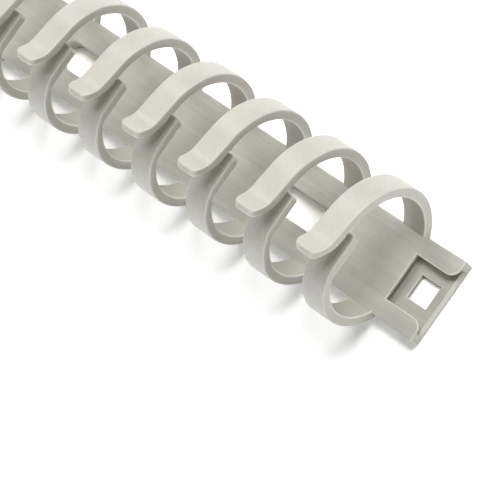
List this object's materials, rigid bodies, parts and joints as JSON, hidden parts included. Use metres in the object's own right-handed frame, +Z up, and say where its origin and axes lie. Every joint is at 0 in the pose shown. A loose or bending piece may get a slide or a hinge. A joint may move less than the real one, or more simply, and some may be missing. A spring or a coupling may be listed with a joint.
{
  "type": "cable spine",
  "caption": "Moulded plastic cable spine: a flat-backed bar with a row of split rings whose flared lips overlap a straight tongue, with a socket end and a plug end.",
  "frame": {"origin": "on the flat mounting back, on the centre line, midway between the two screw slots", "axes": "+X along the spine towards the socket end, +Y across it towards the closed side of the rings, +Z up from the mounting back"},
  "size_m": [0.1724, 0.0362, 0.0379],
  "materials": {
    "plastic": "satin moulded, warm light grey"
  },
  "bodies": {
    "root": {"spine": "plastic"}
  },
  "joints": []
}
